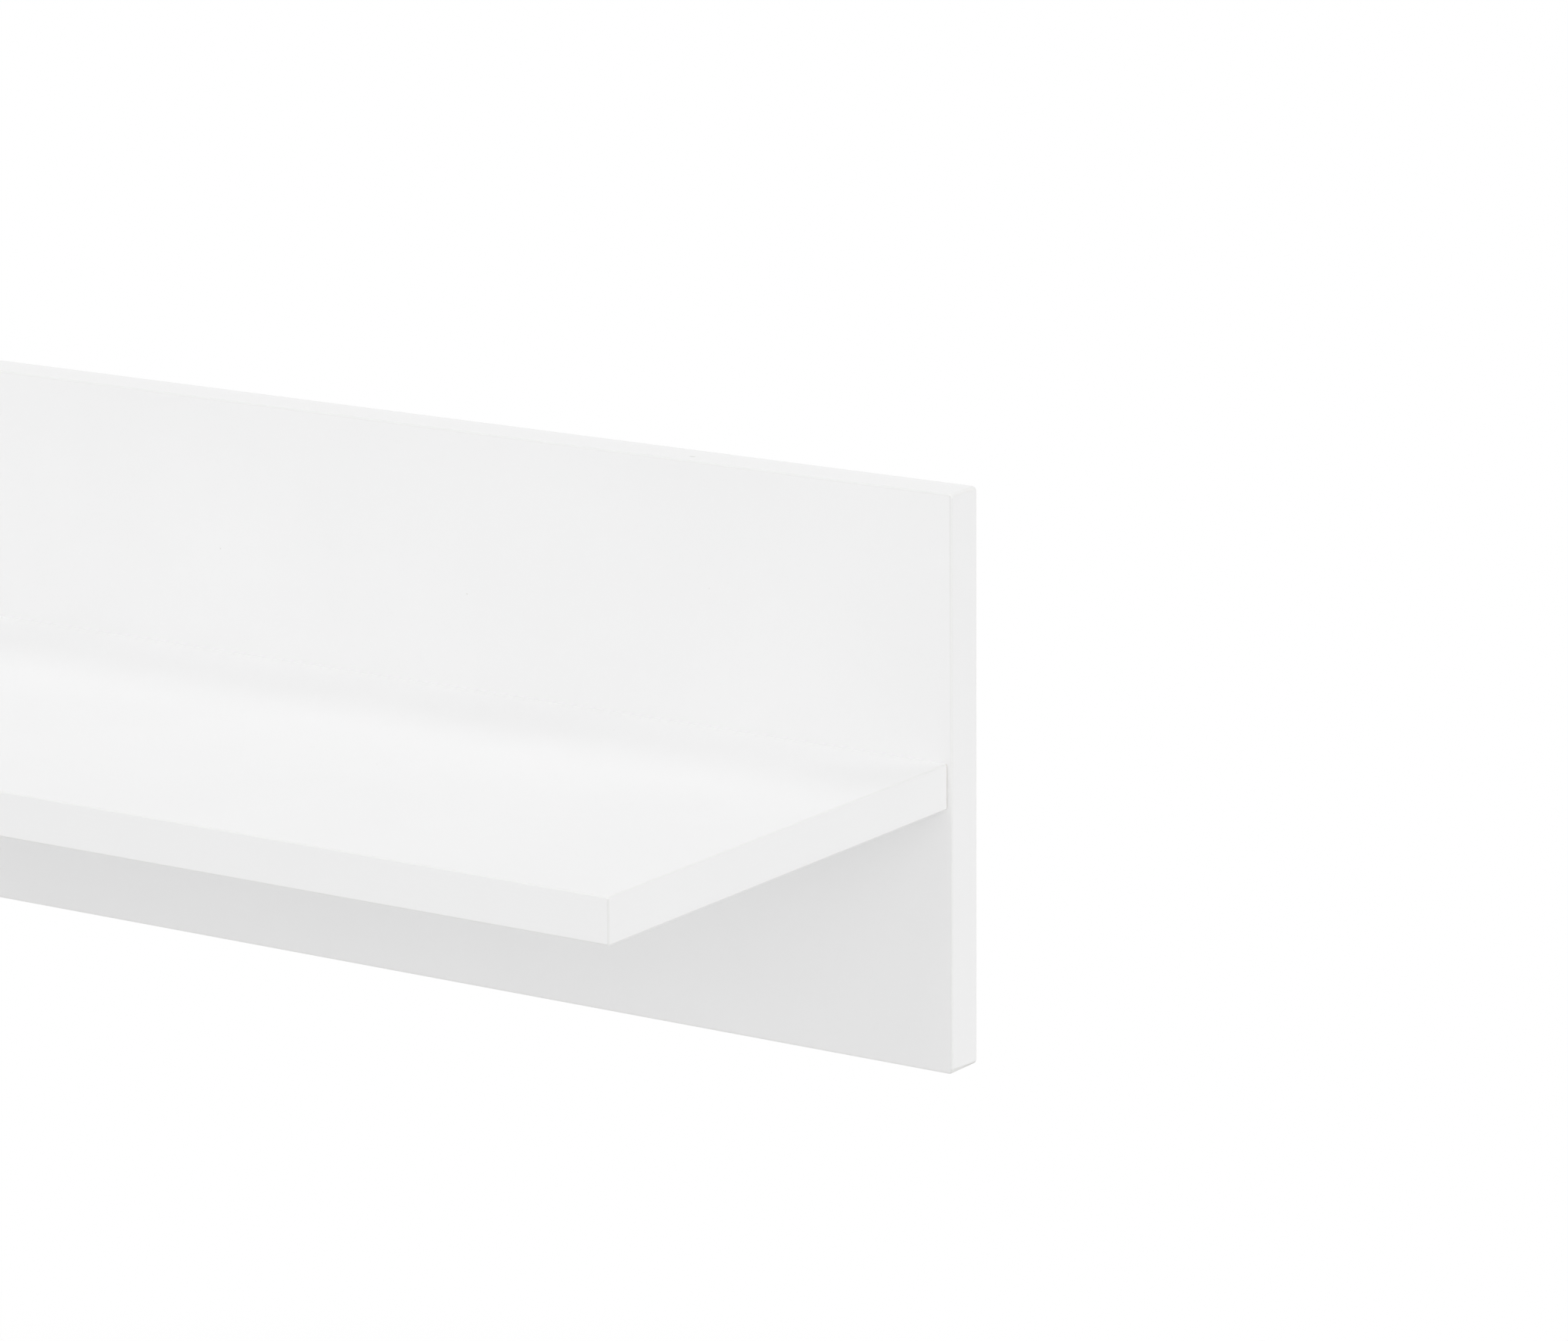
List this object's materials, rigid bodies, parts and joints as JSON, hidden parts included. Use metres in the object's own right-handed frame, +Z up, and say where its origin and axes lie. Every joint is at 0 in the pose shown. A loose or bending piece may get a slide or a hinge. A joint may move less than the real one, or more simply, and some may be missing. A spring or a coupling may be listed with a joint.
{
  "type": "floating wall shelf",
  "caption": "White wall shelf of sideways-T section: an upright back panel, hung flat on the wall by hidden keyhole plates, carries a horizontal shelf board at mid-height.",
  "frame": {"origin": "middle of the back panel's rear face, which lies on the wall", "axes": "+X along the shelf, to the right seen from the front; +Y into the wall; +Z up"},
  "size_m": [1.2, 0.216, 0.204],
  "materials": {
    "melamine_facing": "white melamine paper laminate, satin with a very fine pearl grain",
    "edge_band": "white ABS edge band, satin, arrises trimmed round",
    "chipboard": "raw, fine surface chips and a coarser middle",
    "beech": "raw turned beech with pressed flutes",
    "plate_steel": "stamped, bright zinc plated",
    "screw_steel": "bright zinc plated"
  },
  "bodies": {
    "root": {"back_panel_core": "chipboard", "back_panel_front_facing": "melamine_facing", "back_panel_rear_facing": "melamine_facing", "back_panel_top_band": "edge_band", "back_panel_bottom_band": "edge_band", "back_panel_left_band": "edge_band", "back_panel_right_band": "edge_band", "shelf_core": "chipboard", "shelf_top_facing": "melamine_facing", "shelf_bottom_facing": "melamine_facing", "shelf_front_band": "edge_band", "shelf_left_band": "edge_band", "shelf_right_band": "edge_band", "joint_screw_1": "screw_steel", "joint_screw_2": "screw_steel", "joint_screw_3": "screw_steel", "joint_screw_4": "screw_steel", "joint_screw_5": "screw_steel", "joint_screw_6": "screw_steel", "joint_dowel_1": "beech", "joint_dowel_2": "beech", "joint_dowel_3": "beech", "joint_dowel_4": "beech", "joint_dowel_5": "beech", "hanger_plate_left": "plate_steel", "hanger_screw_left_upper": "screw_steel", "hanger_screw_left_lower": "screw_steel", "hanger_plate_centre": "plate_steel", "hanger_screw_centre_upper": "screw_steel", "hanger_screw_centre_lower": "screw_steel", "hanger_plate_right": "plate_steel", "hanger_screw_right_upper": "screw_steel", "hanger_screw_right_lower": "screw_steel"}
  },
  "joints": []
}
